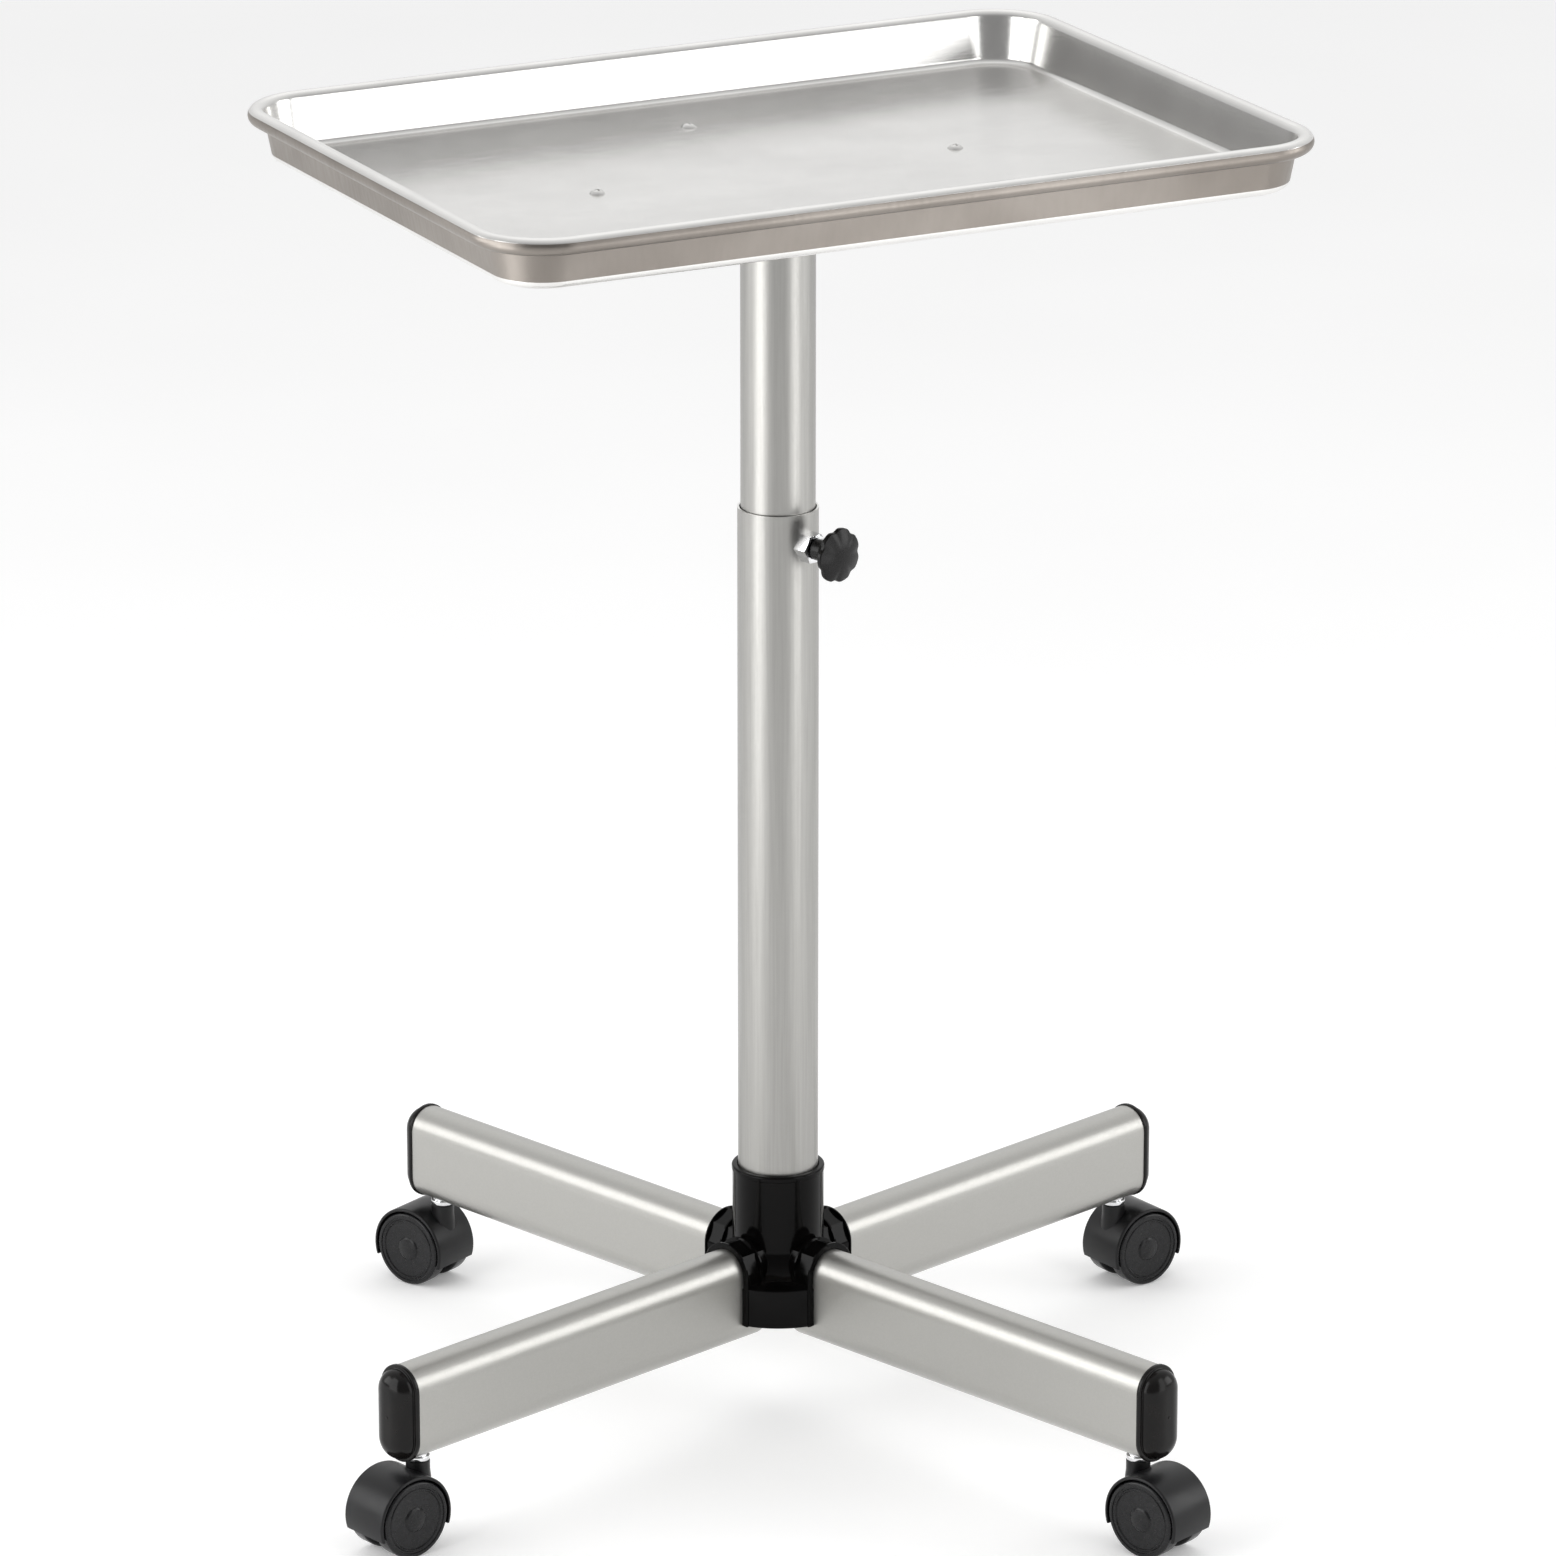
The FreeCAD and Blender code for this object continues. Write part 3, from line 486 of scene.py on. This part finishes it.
def lobed(x, radius, depth, steps=168):
    """Ring of the star about X: round lobes with hollows between them."""
    ring = []
    for k in range(steps):
        a = math.tau * k / steps
        r = radius - depth * (0.5 + 0.5 * math.cos(lobes * a)) ** 3
        ring.append(Vector((x, r * math.cos(a), r * math.sin(a))))
    return ring


flare_start, flare_steps, crown_steps = head - 1.5 * mm, 8, 8
knob_rings = [lobed(knob_start, 4.1 * mm, 0), lobed(knob_start, shank_radius - 0.4 * mm, 0)]
knob_rings += [lobed(knob_start + 0.4 * mm, shank_radius, 0), lobed(flare_start, shank_radius, 0)]
for k in range(1, flare_steps + 1):
    grown = (k / flare_steps) ** 1.7
    radius = shank_radius + (knob_radius - 0.5 * mm - shank_radius) * grown
    along = flare_start + (rim_back - flare_start) * k / flare_steps
    knob_rings.append(lobed(along, radius, flute_depth * grown))
knob_rings += [lobed(rim_back + 0.6 * mm, knob_radius, flute_depth)]
knob_rings += [lobed(crown - 0.8 * mm, knob_radius, flute_depth)]
knob_rings += [lobed(crown - 0.2 * mm, knob_radius - 0.4 * mm, flute_depth)]
for k in range(1, crown_steps + 1):
    fade = 1 - k / crown_steps
    along = knob_face - (knob_face - crown) * fade ** 2
    radius = (knob_radius - 0.9 * mm) * (0.04 + 0.96 * fade) if k < crown_steps else 0.5 * mm
    knob_rings.append(lobed(along, radius, flute_depth * fade ** 2))
piece("knob_star", [bridged(knob_rings)], phenolic, "clamp_knob", ["clamp_knob"], at_clamp)

# Inner tube: the sliding half of the column, in the same satin finish, with a nylon glide at its foot.
# Its top is held in a sleeve welded under the pressed steel cross that carries the tray.
put_on("inner_tube", satin_tube)
put_on("mast_socket", zinc)
put_on("tray_spider", zinc)

# Tray: one deep-drawn aluminium sheet with sloping walls, round corners and an edge rolled outwards.
# Satin mill finish: long faint rolling lines along the tray and soft reflections of the studio.
aluminium, tree, shader, place = finish("satin_rolled_aluminium")
stretched = add(tree, "ShaderNodeMapping", {"Vector": place, "Scale": (0.06, 1.0, 1.0)})
lines = add(tree, "ShaderNodeTexNoise", {"Vector": stretched, "Scale": 1 / (1.1 * mm), "Detail": 4.0})
mottle = add(tree, "ShaderNodeTexNoise", {"Vector": place, "Scale": 1 / (45 * mm), "Detail": 3.0})
tint = add(tree, "ShaderNodeValToRGB", {"Fac": mottle}, [(0.3, linear("#dddcda")), (0.7, linear("#e6e5e3"))])
rough = add(tree, "ShaderNodeValToRGB", {"Fac": lines}, [(0.3, 0.17), (0.7, 0.24)])
bump = add(tree, "ShaderNodeBump", {"Height": lines, "Strength": 0.06, "Distance": 0.05 * mm})
fill(tree, shader, {"Base Color": tint, "Roughness": rough, "Normal": bump, "Metallic": 1.0})

# The same sheet outside and round the outer half of the bead, tinted a warm dark grey: a painted dark
# reflection, with scuffs that run down the walls, so the tray's edge reads darker than its floor.
outside_painted_dark, tree, shader, place = finish("aluminium_painted_dark_reflection")
scuffed = add(tree, "ShaderNodeMapping", {"Vector": place, "Scale": (1.0, 1.0, 0.12)})
scuffs = add(tree, "ShaderNodeTexNoise", {"Vector": scuffed, "Scale": 1 / (2.5 * mm), "Detail": 5.0})
dark_mottle = add(tree, "ShaderNodeTexNoise", {"Vector": place, "Scale": 1 / (60 * mm), "Detail": 2.0})
# Painted dark reflection: this tint is darker than the tray's own metal.
tint = add(tree, "ShaderNodeValToRGB", {"Fac": dark_mottle}, [(0.3, linear("#7f7973")), (0.7, linear("#908a84"))])
rough = add(tree, "ShaderNodeValToRGB", {"Fac": scuffs}, [(0.3, 0.30), (0.7, 0.42)])
bump = add(tree, "ShaderNodeBump", {"Height": scuffs, "Strength": 0.08, "Distance": 0.05 * mm})
fill(tree, shader, {"Base Color": tint, "Roughness": rough, "Normal": bump, "Metallic": 1.0})

tray_length, tray_width, rim_height, tray_depth, sheet = 457 * mm, 330 * mm, 690 * mm, 28 * mm, 1 * mm
corner_radius, bead_radius, bend_radius = 38 * mm, 4.4 * mm, 4 * mm
draft, lip_angle = 11.0, -130.0
bead = (corner_radius - bead_radius, rim_height - bead_radius)
away = (math.cos(math.radians(draft)), -math.sin(math.radians(draft)))
up = (-away[1], away[0])
bend_height = rim_height - tray_depth + sheet + bend_radius
reach = bend_radius + bead_radius
run = (bead[1] - bend_height - reach * away[1]) / up[1]
bend = (bead[0] - reach * away[0] - run * up[0], bend_height)
tray_outline = arc(bend, bend_radius + sheet, -90, -draft, 10)
tray_outline += arc(bead, bead_radius - sheet, 180 - draft, lip_angle, 28)
tray_outline += arc(bead, bead_radius, lip_angle, 180 - draft, 32)
tray_outline += arc(bend, bend_radius, -draft, -90, 10)


def round_tray(outward, height, steps=20):
    """Ring round the tray at a distance out from its corner centres."""
    ring = []
    for k, (sx, sy) in enumerate(((1, 1), (-1, 1), (-1, -1), (1, -1))):
        x, y = sx * (tray_length / 2 - corner_radius), sy * (tray_width / 2 - corner_radius)
        for step in range(steps + 1):
            a = math.radians(90 * k + 90 * step / steps)
            ring.append(Vector((x + outward * math.cos(a), y + outward * math.sin(a), height)))
    return ring


tray_mesh = piece("tray_drawn", [bridged([round_tray(*p) for p in tray_outline])], aluminium, "mast",
                  ["tray"]).data
tray_mesh.materials.append(outside_painted_dark)
# Painted dark reflection: wall faces that look down, the outer side of the bead and the underside take the
# dark tint.
wall_top = bead[1] - 3 * mm
for face in tray_mesh.polygons:
    painted_dark_wall = bend_height < face.center.z < wall_top and face.normal.z < -0.1
    from_middle = Vector((face.center.x / tray_length, face.center.y / tray_width, 0))
    painted_dark_bead = face.center.z > wall_top and face.normal.z < 0.45 and face.normal.dot(from_middle) > 0
    if painted_dark_wall or painted_dark_bead or face.normal.z < -0.9:
        face.material_index = 1

# Tray screws: four low round heads on the tray's centre lines, with a cross recess.
# Stainless steel, cold formed and tumbled bright.
stainless, tree, shader, place = finish("stainless_steel_bright")
tumble = add(tree, "ShaderNodeTexNoise", {"Vector": place, "Scale": 1 / (0.7 * mm), "Detail": 4.0})
tint = add(tree, "ShaderNodeValToRGB", {"Fac": tumble}, [(0.3, linear("#c8c7c5")), (0.7, linear("#dcdbd9"))])
rough = add(tree, "ShaderNodeValToRGB", {"Fac": tumble}, [(0.3, 0.12), (0.7, 0.22)])
fill(tree, shader, {"Base Color": tint, "Roughness": rough, "Metallic": 1.0})
floor_top = rim_height - tray_depth + sheet
head_radius, head_height, screw_reach = 4 * mm, 2.2 * mm, 100 * mm
dome_radius = (head_radius ** 2 + head_height ** 2) / (2 * head_height)
slot_half, slot_reach, slot_depth = 0.45 * mm, 2.0 * mm, 1.0 * mm


def head_ring(r, steps=96):
    """Ring of the screw's dome, let in where the cross recess runs."""
    ring = []
    for k in range(steps):
        a = math.tau * k / steps
        x, y = r * math.cos(a), r * math.sin(a)
        z = head_height - dome_radius + math.sqrt(dome_radius ** 2 - r * r)
        if min(abs(x), abs(y)) < slot_half and r < slot_reach:
            z -= slot_depth * (1 - 0.6 * r / slot_reach)
        ring.append(Vector((x, y, floor_top + z)))
    return ring


screw_parts = []
dome_steps, screw_foot, screw_radius = 24, 656 * mm, 2 * mm
rings = [[Vector((p.x, p.y, floor_top)) for p in head_ring(head_radius)]]
rings += [head_ring(head_radius * (1 - k / dome_steps)) for k in range(dome_steps)]
shank = turned([(screw_radius, screw_foot), (screw_radius, floor_top)], 32)
for k in range(4):
    shift = Vector((screw_reach * math.cos(math.pi / 2 * k), screw_reach * math.sin(math.pi / 2 * k), 0))
    for points, faces in (bridged(rings), bridged(shank)):
        screw_parts.append(([p + shift for p in points], faces))
piece("tray_screw_heads", screw_parts, stainless, "mast", ["tray_screws"], sharp=40.0)

# Studio: a white floor that runs out to the horizon, four soft boxes, a pale surround and the camera.
# The surround is bright behind the object and dark behind the camera, so that metal shows its form. The near
# boxes draw the upright bands on the column, the far ones the streaks along the legs.
floor_mesh = bpy.data.meshes.new("studio_floor")
span = 40.0
floor_corners = [(-span, -span, 0), (span, -span, 0), (span, span, 0), (-span, span, 0)]
floor_mesh.from_pydata(floor_corners, [], [(0, 1, 2, 3)])
floor_object = bpy.data.objects.new("studio_floor", floor_mesh)
bpy.context.collection.objects.link(floor_object)
paper, tree, shader, place = finish("white_paper_floor")
fibre = add(tree, "ShaderNodeTexNoise", {"Vector": place, "Scale": 3.0, "Detail": 2.0})
tint = add(tree, "ShaderNodeValToRGB", {"Fac": fibre}, [(0.3, linear("#fcfcfc")), (0.7, linear("#fefefe"))])
rays = add(tree, "ShaderNodeLightPath").outputs
seen = add(tree, "ShaderNodeMath", {0: rays["Is Camera Ray"], 1: rays["Is Glossy Ray"]}, operation="ADD")
whiter = add(tree, "ShaderNodeMath", {0: seen, 1: 0.13}, operation="MULTIPLY")
fill(tree, shader, {"Base Color": tint, "Roughness": 0.9, "Specular IOR Level": 0.0,
                    "Emission Color": (1, 1, 1, 1), "Emission Strength": whiter})
floor_mesh.materials.append(paper)

view_azimuth = math.radians(243)
world = bpy.data.worlds.new("studio_surround")
bpy.context.scene.world = world
world.use_nodes = True
tree = world.node_tree
direction = add(tree, "ShaderNodeTexCoord").outputs["Generated"]
lift = math.radians(50)
level_way, lifted_way = math.cos(lift), math.sin(lift)
bright_way = (-math.cos(view_azimuth) * level_way, -math.sin(view_azimuth) * level_way, lifted_way)
facing = add(tree, "ShaderNodeVectorMath", {0: direction, 1: bright_way}, operation="DOT_PRODUCT")
share = add(tree, "ShaderNodeMapRange", {"Value": facing.outputs["Value"], "From Min": -1.0, "From Max": 1.0})
grey = add(tree, "ShaderNodeValToRGB", {"Fac": share}, [(0.0, 0.16), (0.98, 1.0), (0.5, 0.28),
                                                            (0.85, 0.68), (0.93, 0.80)])
fill(tree, tree.nodes["Background"], {"Color": grey, "Strength": 1.2})

box_height = 1.4
# Each box: degrees round from the camera's side, distance, width and lower edge in metres, and watts.
for label, degrees, box_distance, box_width, lowest, box_power in (
        ("left", -55, 1.2, 0.7, 0.03, 8.4), ("right", 54, 1.2, 0.5, 0.03, 4.4),
        ("far_left", -90, 2.4, 1.3, 0.30, 17.0), ("far_right", 90, 2.4, 1.3, 0.30, 17.0)):
    box = bpy.data.lights.new("soft_box_" + label, "AREA")
    box.shape, box.size, box.size_y, box.energy = "RECTANGLE", box_width, box_height, box_power
    lamp = bpy.data.objects.new("soft_box_" + label, box)
    turn = view_azimuth + math.radians(degrees)
    lamp.location = (box_distance * math.cos(turn), box_distance * math.sin(turn), lowest + box_height / 2)
    lamp.rotation_euler = (math.radians(90), 0, turn + math.radians(90))
    lamp.visible_camera = False
    bpy.context.collection.objects.link(lamp)

view_turn, view_pitch = math.radians(-27), math.radians(90 - 18.14)
camera_data = bpy.data.cameras.new("photo_camera")
camera_data.sensor_width = 36.0
camera_data.lens = 214.26
camera_data.clip_end = 100.0
camera = bpy.data.objects.new("photo_camera", camera_data)
camera.location = (-2.0335, -3.9909, 1.812)
camera.rotation_euler = (view_pitch, 0, view_turn)
bpy.context.collection.objects.link(camera)
bpy.context.scene.camera = camera
bpy.context.scene.view_settings.view_transform = "Standard"
